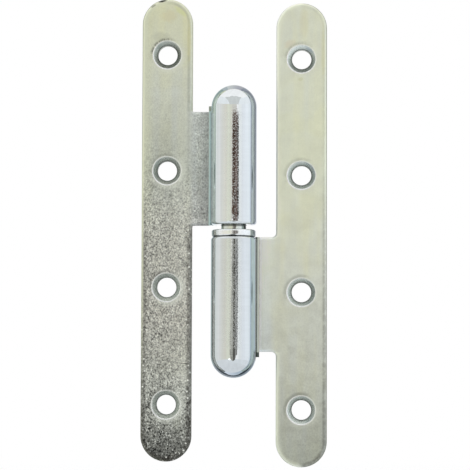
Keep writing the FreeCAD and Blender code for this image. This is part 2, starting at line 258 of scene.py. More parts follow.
# How dark the painted shade is along the outer and inner edges of each strip
EDGE_SHADE = {
    "female_leaf": ([(0.0, 0.6), (0.45, 0.5), (0.6, 0.0)], [(0.0, 0.7), (0.2, 0.55), (0.45, 0.5), (0.62, 0.2), (1.0, 0.1)]),
    "male_leaf": ([(0.0, 0.5), (0.3, 0.42), (0.5, 0.26), (0.65, 0.1), (1.0, 0.1)], [(0.0, 0.08), (0.3, 0.0)]),
}
BARREL_TONE = {"female_leaf": (236, 240, 242), "male_leaf": (230, 234, 236)}
# Painted shade and bluish reflections on the barrels' flanks towards -X and +X
BARREL_FLANKS = {
    "female_leaf": ((0.73, 0.84, 0.88, 1), (0.49, 0.54, 0.64, 1)),
    "male_leaf": ((0.78, 0.84, 0.91, 1), (0.53, 0.62, 0.70, 1)),
}
CONE_TONE = {"female_leaf": (188, 193, 184), "male_leaf": (200, 207, 202)}
STUB_TONE = {"female_leaf": (158, 168, 160), "male_leaf": (78, 86, 80)}

# Knocks, stains and scratches in the faces: across and up from the leaf's middle, half sizes, turn and colour
FACE_MARKS = {
    "female_leaf": [
        ((-1.6, 69.4), (1.6, 0.42), 10, (34, 34, 32), 0.95),
        ((-2.2, 58.6), (3.0, 1.5), 0, (176, 178, 162), 0.35),
        ((-4.4, 67.9), (1.0, 0.40), 35, (110, 108, 98), 0.6),
        ((0.4, 64.8), (2.8, 2.2), 0, (208, 201, 166), 0.45),
        ((4.0, 66.2), (2.6, 0.9), -42, (210, 214, 156), 0.5),
        ((6.6, 57.0), (0.7, 7.0), 0, (212, 208, 164), 0.45),
        ((5.9, -40.6), (1.5, 0.22), 0, (84, 80, 74), 0.75),
        ((5.6, -45.0), (1.4, 3.4), 0, (206, 206, 196), 0.25),
        ((3.4, -56.5), (1.8, 4.8), 0, (196, 198, 184), 0.3),
    ],
    "male_leaf": [
        ((-0.3, 46.8), (0.8, 0.7), 0, (196, 196, 160), 0.4),
        ((-3.6, 57.6), (2.0, 1.4), 30, (214, 202, 176), 0.35),
        ((0.6, 63.4), (1.6, 5.2), 0, (212, 208, 176), 0.35),
        ((6.6, 55.0), (0.7, 9.0), 0, (214, 212, 176), 0.45),
    ],
}


def leaf_masks(graph, name, split):
    """Numbers that say where on a leaf a point is: on the barrel, by a screw hole, near the strip's edge."""
    along = graph.math("SUBTRACT", split[2], LEAF_MIDDLE[name])
    from_axis = graph.math("SQRT", graph.math(
        "ADD", graph.math("MULTIPLY", split[0], split[0]), graph.math("MULTIPLY", split[1], split[1])
    ))
    lifted = graph.math("MULTIPLY", along, LIFT_SIDE[name])
    past_tab = graph.smooth(lifted, TAB_END + 0.05, TAB_END + 0.25)
    stub = graph.times(past_tab, graph.smooth(from_axis, KNUCKLE_RADIUS + 0.02, KNUCKLE_RADIUS + 0.12))
    stub = graph.times(stub, graph.smooth(from_axis, KNUCKLE_RADIUS + 2.2, KNUCKLE_RADIUS + 2.0))
    barrel = graph.smooth(from_axis, BLEND_START + 0.03, BLEND_START - 0.05)
    across = graph.math("SUBTRACT", split[0], LEAF_SIDE[name] * HOLE_ACROSS)
    wrapped = graph.math("WRAP", along, HOLE_PITCH, 0.0)
    hole_z = graph.math("SUBTRACT", wrapped, HOLE_PITCH / 2)
    hole_number = graph.math("FLOOR", graph.math("DIVIDE", along, HOLE_PITCH))
    from_hole = graph.math("SQRT", graph.math(
        "ADD", graph.math("MULTIPLY", across, across), graph.math("MULTIPLY", hole_z, hole_z)
    ))
    beyond = graph.math("MAXIMUM", graph.math("SUBTRACT", graph.math("ABSOLUTE", along), 70 - STRIP_WIDTH / 2), 0.0)
    from_middle = graph.math("SQRT", graph.math(
        "ADD", graph.math("MULTIPLY", across, across), graph.math("MULTIPLY", beyond, beyond)
    ))
    edge_depth = graph.math("SUBTRACT", STRIP_WIDTH / 2, from_middle)
    beside_tab = graph.times(
        graph.smooth(lifted, TAB_START - 0.3, TAB_START + 0.1), graph.smooth(lifted, TAB_END + 0.3, TAB_END - 0.1)
    )
    joined = graph.times(beside_tab, graph.smooth(graph.math("MULTIPLY", across, LEAF_SIDE[name]), 0.5, -0.5))
    return {
        "along": along,
        "lifted": lifted,
        "across": across,
        "from_axis": from_axis,
        "barrel": barrel,
        "stub": stub,
        "joined": joined,
        "from_hole": from_hole,
        "hole_number": hole_number,
        "hole_z": hole_z,
        "edge_depth": edge_depth,
    }


def display(red, green, blue, lift=1.28):
    """The plating's own colour behind a display colour seen in soft surroundings that aren't all white."""
    return tuple(level * lift for level in linear(red, green, blue)[:3]) + (1.0,)


def plate_colour(graph, name, place, masks, height, soil):
    """The flat faces: tones that change up the leaf, blotches, grain, bright flecks, and tinted painted highlights
    and painted shade along the edges.
    """
    female = name == "female_leaf"
    tone = graph.ramp(height, [(share, display(*colour)) for share, colour in PLATE_TONES[name]])
    outer = graph.math("MULTIPLY", masks["across"], LEAF_SIDE[name])
    if female:
        olive = graph.times(graph.smooth(outer, 2.6, 6.6), graph.straight(height, 0.45, 0.7))
        tone = graph.mix(graph.times(olive, 0.5), tone, display(208, 209, 180))
        bright_side = graph.times(graph.smooth(outer, 0.0, -5.0), graph.smooth(height, 0.85, 0.6))
        tone = graph.brighten(tone, graph.straight(bright_side, 0.0, 1.0, 0.97, 1.12))
    tab = graph.smooth(masks["from_axis"], 14.2, 11.8 if female else 9.2)
    tab_tint = (0.93, 0.94, 1.0, 1) if female else (1.06, 1.08, 1.16, 1)
    tone = graph.mix(tab, tone, tab_tint, "MULTIPLY")

    broad = graph.noise(place, 0.08, 2.0, 0.5)
    patches = graph.noise(place, 0.34, 3.0, 0.6)
    brushed = graph.noise(graph.scaled(place, 1.0, 1.0, 0.06), 2.6, 3.0, 0.6)
    unmarked = graph.math("MULTIPLY_ADD", soil, -1.4, 1.0, clamp=True)
    tone = graph.mix(
        graph.times(unmarked, graph.smooth(broad, 0.48, 0.62, 0.0, 0.22)), tone, (0.97, 0.95, 0.80, 1), "MULTIPLY")
    bands = graph.noise(graph.scaled(place, 1.0, 1.0, 0.09), 0.30, 1.0, 0.5)
    film = graph.mix(graph.smooth(bands, 0.35, 0.65), (1.04, 1.035, 0.99, 1), (1.01, 1.015, 1.035, 1))
    tone = graph.mix(unmarked, tone, film, "MULTIPLY")
    tone = graph.brighten(tone, graph.swing(patches, graph.math("MULTIPLY_ADD", soil, 0.8, 0.07)))
    tone = graph.brighten(tone, graph.swing(brushed, 0.07))

    fine = graph.straight(graph.noise(graph.scaled(place, 1.0, 1.0, 0.8), 2.2, 2.0, 0.75), 0.3, 0.7, -1.0, 1.0)
    coarse = graph.straight(graph.noise(place, 0.8, 2.0, 0.6), 0.3, 0.7, -1.0, 1.0)
    grain = graph.math("MULTIPLY_ADD", coarse, 0.3, fine)
    grain_depth = graph.smooth(outer, -5.0, 2.0, 0.95, 1.25)
    tone = graph.brighten(tone, graph.math("MULTIPLY_ADD", graph.times(grain, soil), grain_depth, 1.0))
    pits = graph.smooth(graph.noise(place, 1.5, 2.0, 0.6), 0.58, 0.68)
    tone = graph.brighten(tone, graph.math("MULTIPLY_ADD", graph.times(pits, soil), -0.75, 1.0))
    flecks = graph.smooth(graph.cells(place, 1.15), 0.34, 0.16)
    fleck_share = graph.times(flecks, graph.times(soil, graph.smooth(patches, 0.34, 0.58)))
    tone = graph.mix(graph.times(fleck_share, 0.8), tone, display(228, 229, 222))

    # A painted highlight along the rolled edge, and painted shade just inside it
    open_edge = graph.math("SUBTRACT", 1.0, masks["joined"])
    outer_side = graph.smooth(outer, -1.0, 1.0)
    light_reach = graph.blend(outer_side, 1.4, 2.2) if female else 1.8
    light = graph.times(graph.smooth(masks["edge_depth"], light_reach, 0.7), open_edge)
    light_side = graph.smooth(height, 0.5, 0.8) if female else graph.smooth(outer, 2.0, -2.0)
    light_tone = display(214, 217, 200) if female else display(234, 237, 219)
    tone = graph.mix(graph.times(graph.times(light, light_side), 0.5), tone, light_tone)
    outer_shade, inner_shade = (graph.grey(height, stops) for stops in EDGE_SHADE[name])
    painted_shade = graph.blend(outer_side, inner_shade, outer_shade)
    line = graph.times(graph.smooth(masks["edge_depth"], 1.9 if female else 1.7, 1.1 if female else 0.8), open_edge)
    broken = graph.smooth(graph.noise(place, 0.7, 3.0, 0.65), 0.3, 0.6, 0.45, 1.0)
    tone = graph.mix(graph.times(graph.times(line, painted_shade), broken), tone, linear(52, 47, 42))
    if female:
        strip = graph.times(graph.smooth(masks["edge_depth"], 2.3, 1.5), graph.smooth(soil, 0.3, 0.6))
        dots = graph.times(graph.smooth(graph.cells(place, 0.62), 0.22, 0.13), strip)
        tone = graph.mix(graph.times(dots, 0.85), tone, display(236, 237, 230))
    # A painted highlight on the very edge, its strength set by side and height
    rim_reach = graph.blend(outer_side, 0.55, 0.95) if female else 0.55
    rim = graph.times(graph.smooth(masks["edge_depth"], rim_reach, 0.3), open_edge)
    inner_rim = 0.45
    if female:
        inner_rim = graph.grey(height, [(0.0, 0.05), (0.5, 0.1), (0.6, 0.5), (0.82, 0.4), (0.92, 0.1)])
    outer_rim = graph.smooth(height, 0.14, 0.42, 0.1, 0.8) if female else 0.05
    rim_side = graph.blend(outer_side, inner_rim, outer_rim)
    rim_tone = display(214, 215, 190) if female else display(242, 244, 224)
    tone = graph.mix(graph.times(rim, rim_side), tone, rim_tone)
    # Painted shade in a band inside the inner edge, high up the female leaf
    if female:
        bevel_shade = graph.smooth(graph.math("ABSOLUTE", graph.math("SUBTRACT", masks["edge_depth"], 1.15)), 0.5, 0.15)
        inner_top = graph.times(graph.smooth(outer, -1.0, -3.0), graph.smooth(height, 0.56, 0.66))
        tone = graph.brighten(tone, graph.math("MULTIPLY_ADD", graph.times(bevel_shade, inner_top), -0.10, 1.0))
    # A painted dark line of shade at the very edge, on the outer side only, and high up on the female leaf
    outline = graph.times(graph.smooth(masks["edge_depth"], 0.32, 0.14), open_edge)
    outline = graph.times(outline, graph.smooth(outer, 0.0, 2.0))
    if female:
        outline = graph.times(outline, graph.smooth(height, 0.6, 0.75))
    tone = graph.mix(graph.times(outline, 0.6), tone, display(140, 142, 124))
    return tone, patches, grain, brushed


def add_marks(graph, name, place, colour):
    ragged = graph.noise(place, 1.4, 2.0, 0.6)
    centred = graph.add("ShaderNodeVectorMath", operation="SUBTRACT")
    graph.feed(centred.inputs[0], place)
    centred.inputs[1].default_value = (LEAF_SIDE[name] * HOLE_ACROSS, 0.0, LEAF_MIDDLE[name])
    for middle, size, turn, tone, strength in FACE_MARKS[name]:
        away = graph.ellipse(centred.outputs[0], middle, size, turn)
        share = graph.smooth(graph.math("MULTIPLY_ADD", ragged, 0.8, away), 1.55, 0.85, 0.0, strength)
        colour = graph.mix(share, colour, display(*tone))
    return colour


def countersink_colour(graph, name, place, depth, masks, colour):
    """A painted highlight on each countersink's rim with a painted sheen beyond it, and a darker turned cone and wall
    inside it, with painted shade on the cone that changes round the hole.
    """
    front = graph.smooth(depth, 3.3, 2.7)
    from_hole = masks["from_hole"]
    across_share = graph.math("DIVIDE", masks["across"], from_hole)
    up_share = graph.math("DIVIDE", masks["hole_z"], from_hole)
    towards_top = graph.math("MULTIPLY_ADD", up_share, 0.8, graph.times(across_share, -0.6))
    halo = graph.times(
        graph.smooth(from_hole, COUNTERSINK_RADIUS + 1.5, COUNTERSINK_RADIUS + 0.5),
        graph.smooth(graph.math("ADD", towards_top, graph.noise(place, 0.9, 2.0, 0.6)), 0.5, 1.4),
    )
    halo_depth = graph.straight(masks["hole_number"], -2.0, 1.0, 0.33, 0.12)
    halo_depth = graph.times(graph.times(halo, front), halo_depth)
    colour = graph.brighten(colour, graph.math("SUBTRACT", 1.0, halo_depth))
    # A painted sheen beyond the rim towards the lower right
    towards_foot = graph.math("MULTIPLY_ADD", up_share, -0.75, graph.times(across_share, 0.65))
    sheen = graph.times(
        graph.smooth(from_hole, COUNTERSINK_RADIUS + 2.0, COUNTERSINK_RADIUS + 0.3),
        graph.times(graph.smooth(towards_foot, -0.5, 0.6), front),
    )
    sheen_share = 0.55 if name == "female_leaf" else 0.3
    colour = graph.mix(graph.times(sheen, sheen_share), colour, display(218, 220, 210))
    angle = graph.math("ARCTAN2", masks["hole_z"], masks["across"])
    spokes = graph.noise(graph.vector(graph.times(angle, 11.0), 0.0, graph.times(from_hole, 0.5)), 1.0, 2.0, 0.5)
    drag = graph.times(
        graph.times(graph.smooth(spokes, 0.36, 0.6), graph.smooth(towards_top, 0.5, 0.8)),
        graph.times(graph.smooth(from_hole, COUNTERSINK_RADIUS + 1.1, COUNTERSINK_RADIUS + 0.3), front),
    )
    top_hole = graph.math("GREATER_THAN", masks["hole_number"], 0.5)
    drag_share = 0.6 if name == "female_leaf" else 0.15
    colour = graph.brighten(colour, graph.math(
        "MULTIPLY_ADD", graph.times(drag, top_hole), -drag_share, 1.0))

    # A painted highlight on the rim, brighter towards the lower left
    towards_left_foot = graph.math("MULTIPLY_ADD", up_share, -0.75, graph.times(across_share, -0.65))
    rim_share = graph.times(
        graph.smooth(from_hole, COUNTERSINK_RADIUS + 0.28, COUNTERSINK_RADIUS + 0.1),
        graph.times(graph.straight(towards_left_foot, -1.0, 1.0, 0.5, 1.0), front),
    )
    colour = graph.mix(rim_share, colour, (1.08, 1.08, 1.03, 1))
    cone = graph.times(graph.smooth(from_hole, COUNTERSINK_RADIUS - 0.14, COUNTERSINK_RADIUS - 0.28), front)
    turned = graph.noise(graph.vector(0.0, 0.0, graph.times(from_hole, 1.0)), 3.0, 2.0, 0.6)
    worn = graph.noise(place, 0.8, 3.0, 0.6)
    cone_light = graph.times(graph.swing(turned, 0.5), graph.swing(worn, 0.28))
    if name == "female_leaf":
        outward = graph.straight(from_hole, HOLE_RADIUS + 0.2, COUNTERSINK_RADIUS, 0.85, 1.2)
        upper_holes = graph.math("GREATER_THAN", masks["hole_number"], -0.5)
        turn_shade = graph.straight(
            towards_top, -1.0, 1.0, graph.blend(upper_holes, 1.18, 0.88), graph.blend(upper_holes, 0.98, 0.92))
    else:
        outward = graph.straight(from_hole, HOLE_RADIUS + 0.2, COUNTERSINK_RADIUS, 0.85, 1.15)
        turn_shade = graph.straight(
            towards_top, -1.0, 1.0, graph.blend(top_hole, 1.32, 0.80), graph.blend(top_hole, 1.12, 1.5))
        left_shade = graph.straight(across_share, -1.0, 1.0, 1.14, 0.84)
        turn_shade = graph.times(turn_shade, graph.blend(top_hole, left_shade, 1.0))
    cone_light = graph.times(cone_light, graph.times(outward, turn_shade))
    cone_colour = graph.brighten(linear(*CONE_TONE[name]), cone_light)
    colour = graph.mix(cone, colour, cone_colour)
    wall = graph.smooth(from_hole, HOLE_RADIUS + 0.34, HOLE_RADIUS + 0.14)
    return graph.mix(graph.times(wall, 0.7), colour, linear(112, 120, 114)), cone


def barrel_colour(graph, name, place, split, masks):
    """The drawn barrel: clean and bright on its crown, with painted shade and bluish reflections on its flanks,
    painted bluish shade in the female web's hollow, a painted light reflection in the male's, and painted shade at
    the web's root.
    """
    streaks = graph.noise(graph.scaled(place, 1.0, 1.0, 0.02), 1.2, 2.0, 0.5)
    tone = linear(*BARREL_TONE[name])
    colour = graph.brighten(tone, graph.straight(streaks, 0.3, 0.7, 0.96, 1.03))
    ripple = graph.noise(graph.scaled(place, 0.1, 0.1, 1.0), 1.0, 2.0, 0.5)
    colour = graph.brighten(colour, graph.straight(ripple, 0.3, 0.7, 0.98, 1.02))
    low_flank, high_flank = BARREL_FLANKS[name]
    flank = graph.mix(graph.smooth(split[0], -2.0, 2.0), low_flank, high_flank)
    in_dome = graph.math("MAXIMUM", graph.math("SUBTRACT", masks["lifted"], DOME_START), 0.0)
    from_crown = graph.math("SQRT", graph.math(
        "ADD", graph.math("MULTIPLY", split[0], split[0]), graph.math("MULTIPLY", in_dome, in_dome)
    ))
    # Painted shade and bluish reflections on the flanks, varied by noise
    side = graph.smooth(from_crown, KNUCKLE_RADIUS * 0.745, KNUCKLE_RADIUS * 0.765)
    flank_shade = graph.brighten(flank, graph.swing(graph.noise(place, 0.6, 3.0, 0.6), 0.25))
    colour = graph.mix(side, colour, flank_shade)
    # Painted shade in the female web's hollow and a painted light reflection in the male's, then painted shade along
    # the web's root
    outward = graph.math("MULTIPLY", split[0], LEAF_SIDE[name])
    hollow = graph.smooth(outward, KNUCKLE_RADIUS + 0.02, KNUCKLE_RADIUS + 0.14)
    hollow_tint = (0.68, 0.76, 0.76, 1) if name == "female_leaf" else (1.32, 1.17, 0.90, 1)
    colour = graph.mix(hollow, colour, hollow_tint, "MULTIPLY")
    root = graph.times(
        graph.smooth(outward, KNUCKLE_RADIUS - 0.42, KNUCKLE_RADIUS - 0.18),
        graph.smooth(outward, KNUCKLE_RADIUS + 0.48, KNUCKLE_RADIUS + 0.14),
    )
    depth = 0.12 if name == "female_leaf" else 0.75
    return graph.brighten(colour, graph.math("MULTIPLY_ADD", root, -depth, 1.0))


def leaf_material(name, slot):
    """Zinc plating: bright on the drawn barrel, satin on the plate, dulled and grained where the leaf was handled."""
    graph = Graph(slot)
    place, split = graph.place_mm()
    masks = leaf_masks(graph, name, split)
    # Share of the leaf's height, 0 at the foot and 1 at the top
    height = graph.straight(masks["along"], -70.0, 70.0)
    soil = graph.grey(height, PLATE_SOIL[name])
    if name == "female_leaf":
        on_tab = graph.smooth(masks["from_axis"], 14.5, 11.0, 0.0, 0.38)
        soil = graph.math("MAXIMUM", soil, on_tab)

    plate, patches, grain, brushed = plate_colour(graph, name, place, masks, height, soil)
    # Painted shade on the female plate towards the barrel, and a painted bluish reflection beside the male's barrel
    if name == "female_leaf":
        beside_barrel = graph.smooth(masks["from_axis"], 12.5, BLEND_START)
        plate = graph.brighten(plate, graph.straight(beside_barrel, 0.0, 1.0, 1.0, 0.74))
    else:
        beside_barrel = graph.smooth(masks["from_axis"], 8.7, 8.0)
        plate = graph.mix(beside_barrel, plate, (1.16, 1.20, 1.28, 1), "MULTIPLY")
    plate = add_marks(graph, name, place, plate)
    plate, cone = countersink_colour(graph, name, place, split[1], masks, plate)
    barrel = barrel_colour(graph, name, place, split, masks)
    colour = graph.mix(masks["barrel"], plate, barrel)
    colour = graph.mix(masks["stub"], colour, linear(*STUB_TONE[name]))

    plate_rough = graph.math("ADD", graph.times(soil, 0.06), graph.smooth(patches, 0.3, 0.7, 0.42, 0.52))
    rough = graph.blend(cone, plate_rough, 0.24)
    skin = graph.noise(graph.scaled(place, 1.0, 1.0, 1.3), 1.7, 1.0, 0.5)
    specks = graph.noise(graph.scaled(place, 1.0, 1.0, 1.2), 3.4, 1.0, 0.5)
    specks = graph.smooth(specks, 0.53, 0.63) if name == "female_leaf" else graph.smooth(specks, 0.50, 0.58)
    crown = graph.times(
        graph.smooth(graph.math("ABSOLUTE", split[0]), 3.6, 2.4), graph.smooth(masks["lifted"], 35.2, 34.4))
    barrel_rough = graph.math("MULTIPLY_ADD", graph.times(specks, crown), 0.32, 0.03)
    rough = graph.blend(masks["barrel"], rough, barrel_rough)

    plate_relief = graph.math("MULTIPLY_ADD", graph.times(grain, soil), 0.10, graph.times(brushed, 0.012))
    relief = graph.blend(masks["barrel"], plate_relief, graph.times(skin, 0.001))
    return graph.metal(colour, rough, graph.bump(relief, 0.001), graph.blend(masks["barrel"], 0.9, 1.0))


def turned_material(slot, tone, shade, roughness, flanks, shade_heights, reflection_mark=None):
    """Bright turned steel with fine lines round it, painted shade and tints on its flanks, grease where it runs in
    the upper knuckle, painted shade towards one end, and a painted dark reflection mark where one is given.
    """
    graph = Graph(slot)
    place, split = graph.place_mm()
    lines = graph.noise(graph.scaled(place, 0.15, 0.15, 1.0), 6.0, 2.0, 0.5)
    specks = graph.noise(place, 2.2, 4.0, 0.65)
    colour = graph.mix(graph.smooth(specks, 0.45, 0.33, 0.0, 0.3), linear(*tone), linear(*shade))
    colour = graph.brighten(colour, graph.swing(lines, 0.12))
    outside = graph.smooth(split[2], knuckle_foot + 0.9, knuckle_foot + 0.3)
    # Painted shade and tints on the flanks, outside the upper knuckle
    for start, tint in flanks:
        side = graph.smooth(graph.math("MULTIPLY", split[0], math.copysign(1.0, start)), abs(start), abs(start) + 0.3)
        colour = graph.mix(graph.times(side, outside), colour, tint, "MULTIPLY")
    smears = graph.smooth(graph.noise(graph.scaled(place, 1.0, 1.0, 0.5), 0.55, 3.0, 0.6), 0.40, 0.62)
    greased = graph.times(smears, graph.math("SUBTRACT", 1.0, outside))
    colour = graph.mix(graph.times(greased, 0.45), colour, linear(146, 134, 104))
    # A painted dark reflection on the front, an ellipse given by its middle across and up and its half sizes
    if reflection_mark:
        across, up, half_wide, half_high = reflection_mark
        away = graph.math("SQRT", graph.math(
            "ADD",
            graph.math("POWER", graph.math("DIVIDE", graph.math("SUBTRACT", split[0], across), half_wide), 2.0),
            graph.math("POWER", graph.math("DIVIDE", graph.math("SUBTRACT", split[2], up), half_high), 2.0),
        ))
        front = graph.math("LESS_THAN", split[1], 0.0)
        dark_reflection = graph.times(front, graph.smooth(away, 1.1, 0.75))
        colour = graph.mix(graph.times(dark_reflection, 0.8), colour, linear(66, 68, 64))
    # Painted shade towards one end, between the given heights, outside the upper knuckle
    unmarked, fully_shaded = shade_heights
    painted_shade = graph.smooth(graph.math("MULTIPLY_ADD", specks, 0.3, split[2]), unmarked + 0.15, fully_shaded + 0.15)
    painted_shade = graph.times(painted_shade, outside)
    colour = graph.mix(graph.times(painted_shade, 0.8), colour, linear(66, 70, 68))
    rough = graph.smooth(lines, 0.3, 0.7, roughness, roughness + 0.08)
    rough = graph.math("MULTIPLY_ADD", greased, 0.22, rough)
    height = graph.math("MULTIPLY_ADD", lines, 0.3, graph.times(specks, 0.2))
    return graph.metal(colour, rough, graph.bump(height, 0.00003, 0.5), 0.95)


def dress(name, material):
    mesh = nodes[name].data
    mesh.materials.clear()
    mesh.materials.append(material)


def mesh_object(name, build):
    mesh = bpy.data.meshes.new(name)
    shape = bmesh.new()
    build(shape)
    shape.to_mesh(mesh)
    shape.free()
    made = bpy.data.objects.new(name, mesh)
    scene.collection.objects.link(made)
    return made


def add_world():
    """White where the camera or a reflection sees it, and a plain grey light on the object."""
    world = bpy.data.worlds.new("studio")
    world.use_nodes = True
    tree = world.node_tree
    tree.nodes.clear()
    path = tree.nodes.new("ShaderNodeLightPath")
    seen = tree.nodes.new("ShaderNodeMath")
    seen.operation = "MAXIMUM"
    both = tree.nodes.new("ShaderNodeMath")
    both.operation = "MAXIMUM"
    tree.links.new(path.outputs["Is Camera Ray"], seen.inputs[0])
    tree.links.new(path.outputs["Is Glossy Ray"], seen.inputs[1])
    tree.links.new(seen.outputs[0], both.inputs[0])
    tree.links.new(path.outputs["Is Transmission Ray"], both.inputs[1])
    soft = tree.nodes.new("ShaderNodeBackground")
    soft.inputs["Color"].default_value = (0.97, 0.98, 1.0, 1.0)
    soft.inputs["Strength"].default_value = 0.75
    white = tree.nodes.new("ShaderNodeBackground")
    white.inputs["Color"].default_value = (1.0, 1.0, 1.0, 1.0)
    white.inputs["Strength"].default_value = 1.0
    mix = tree.nodes.new("ShaderNodeMixShader")
    tree.links.new(both.outputs[0], mix.inputs[0])
    tree.links.new(soft.outputs[0], mix.inputs[1])
    tree.links.new(white.outputs[0], mix.inputs[2])
    output = tree.nodes.new("ShaderNodeOutputWorld")
    tree.links.new(mix.outputs[0], output.inputs[0])
    scene.world = world


def add_lamp(name, azimuth, elevation, distance, wide, high, level, colour):
    """A soft box that faces the hinge. Its level is how bright its face is, where 1 is white."""
    data = bpy.data.lights.new(name, "AREA")
    data.shape = "RECTANGLE"
    data.size = wide
    data.size_y = high
    data.energy = level * math.pi * wide * high
    data.color = colour
    lamp = bpy.data.objects.new(name, data)
    turn, rise = math.radians(azimuth), math.radians(elevation)
    back = Vector((math.sin(turn) * math.cos(rise), -math.cos(turn) * math.cos(rise), math.sin(rise)))
    lamp.matrix_world = Matrix.Translation(back * distance) @ back.to_track_quat("Z", "Y").to_matrix().to_4x4()
    lamp.visible_camera = False
    lamp.visible_glossy = False
    scene.collection.objects.link(lamp)


def hide_from_all_but_gloss(card):
    card.visible_camera = False
    card.visible_diffuse = False
    card.visible_transmission = False
    card.visible_shadow = False
    card.visible_volume_scatter = False


def card_material(name, stops, speckle=0.0):
    """Plain light whose colour changes round the hinge. The stops are angles from the front towards +X."""
    graph = Graph(name)
    place, split = graph.place_mm()
    turn = graph.math("ARCTAN2", split[0], graph.math("MULTIPLY", split[1], -1.0))
    share = graph.straight(turn, -math.pi, math.pi)
    glow = graph.add("ShaderNodeEmission")
    colour = graph.ramp(share, [((angle + 180) / 360, (*tone, 1)) for angle, tone in stops])
    if speckle:
        spots = graph.noise(graph.vector(graph.times(turn, 5.0), 0.0, graph.times(split[2], 0.055)), 1.0, 1.0, 0.6)
        colour = graph.brighten(colour, graph.straight(spots, 0.32, 0.68, 1.0 - speckle, 1.0 + speckle))
    graph.feed(glow.inputs["Color"], colour)
    output = graph.add("ShaderNodeOutputMaterial")
    graph.feed(output.inputs["Surface"], glow.outputs[0])
    return graph.material


def add_card(name, edges, stops, radius=1.0, speckle=0.0):
    """A curved card round the hinge that only its reflections show.

    Each of its edges is written as (height in mm, start, end), where the angles run from the front towards +X.
    """
    steps = 24

    def build(shape):
        rows = []
        for height, start, end in edges:
            row = []
            for step in range(steps + 1):
                angle = math.radians(start + (end - start) * step / steps)
                place = (radius * math.sin(angle), -radius * math.cos(angle), height / 1000)
                row.append(shape.verts.new(place))
            rows.append(row)
        for low, high in zip(rows, rows[1:]):
            for step in range(steps):
                shape.faces.new((low[step], low[step + 1], high[step + 1], high[step]))

    card = mesh_object(name, build)
    card.data.materials.append(card_material(name, stops, speckle))
    hide_from_all_but_gloss(card)


def add_back_band(name, turns, leans, colour, radius=1.1):
    """Part of a band of a sphere behind the hinge, a dim room past the white table.

    Turns run round the front direction from +X towards +Z, and leans run back from the front.
    """
    rings, steps = 6, 24

    def build(shape):
        rows = []
        for ring in range(rings + 1):
            lean = math.radians(leans[0] + (leans[1] - leans[0]) * ring / rings)
            row = []
            for step in range(steps + 1):
                turn = math.radians(turns[0] + (turns[1] - turns[0]) * step / steps)
                across = radius * math.sin(lean)
                place = (across * math.cos(turn), -radius * math.cos(lean), across * math.sin(turn))
                row.append(shape.verts.new(place))
            rows.append(row)
        for low, high in zip(rows, rows[1:]):
            for step in range(steps):
                shape.faces.new((low[step], low[step + 1], high[step + 1], high[step]))

    card = mesh_object(name, build)
    card.data.materials.append(card_material(name, [(-180, colour), (180, colour)]))
    hide_from_all_but_gloss(card)


def add_patch(name, middle, outline, colour, distance=0.9):
    """A small card near the camera. Its middle and outline are (angle from the front towards +X, rise) pairs."""

    def build(shape):
        corners = []
        for across, up in [middle] + outline:
            turn, rise = math.radians(across), math.radians(up)
            corners.append(shape.verts.new((
                distance * math.cos(rise) * math.sin(turn),
                -distance * math.cos(rise) * math.cos(turn),
                distance * math.sin(rise),
            )))
        rim = corners[1:]
        for first, second in zip(rim, rim[1:] + rim[:1]):
            shape.faces.new((corners[0], first, second))

    card = mesh_object(name, build)
    card.data.materials.append(card_material(name, [(-180, colour), (180, colour)]))
    hide_from_all_but_gloss(card)


def add_ground_card(name, colour, radius=1.0, height=-0.9):
    """A pale grey table far below the hinge, seen only in the undersides of its domes."""

    def build(shape):
        steps = 32
        rim = [shape.verts.new((
            radius * math.cos(2 * math.pi * step / steps), radius * math.sin(2 * math.pi * step / steps), height
        )) for step in range(steps)]
        shape.faces.new(rim)

    card = mesh_object(name, build)
    card.data.materials.append(card_material(name, [(-180, colour), (180, colour)]))
    hide_from_all_but_gloss(card)


FLOOR_Z = -0.0780


def add_floor():
    """A pale floor that fades to white away from the hinge and keeps its shadow."""
    side = 6.0

    def build(shape):
        corners = [(-side, -side), (side, -side), (side, side), (-side, side)]
        shape.faces.new([shape.verts.new((x, y, FLOOR_Z)) for x, y in corners])

    floor = mesh_object("floor", build)
    graph = Graph("floor")
    whole, split = graph.place_mm()
    away = graph.math("SQRT", graph.math(
        "ADD", graph.math("MULTIPLY", split[0], split[0]), graph.math("MULTIPLY", split[1], split[1])
    ))
    far = graph.smooth(away, 70.0, 190.0)
    path = graph.add("ShaderNodeLightPath")
    seen = graph.math("MAXIMUM", path.outputs["Is Glossy Ray"], path.outputs["Is Transmission Ray"])
    white_share = graph.math("MAXIMUM", far, seen)
    pale = graph.add("ShaderNodeBsdfDiffuse")
    pale.inputs["Color"].default_value = (0.86, 0.86, 0.86, 1)
    lift = graph.add("ShaderNodeEmission")
    lift.inputs["Strength"].default_value = 0.12
    near = graph.add("ShaderNodeAddShader")
    graph.feed(near.inputs[0], pale.outputs[0])
    graph.feed(near.inputs[1], lift.outputs[0])
    white = graph.add("ShaderNodeEmission")
    mix = graph.add("ShaderNodeMixShader")
    graph.feed(mix.inputs[0], white_share)
    graph.feed(mix.inputs[1], near.outputs[0])
    graph.feed(mix.inputs[2], white.outputs[0])
    output = graph.add("ShaderNodeOutputMaterial")
    graph.feed(output.inputs["Surface"], mix.outputs[0])
    floor.data.materials.append(graph.material)
    floor.visible_glossy = False


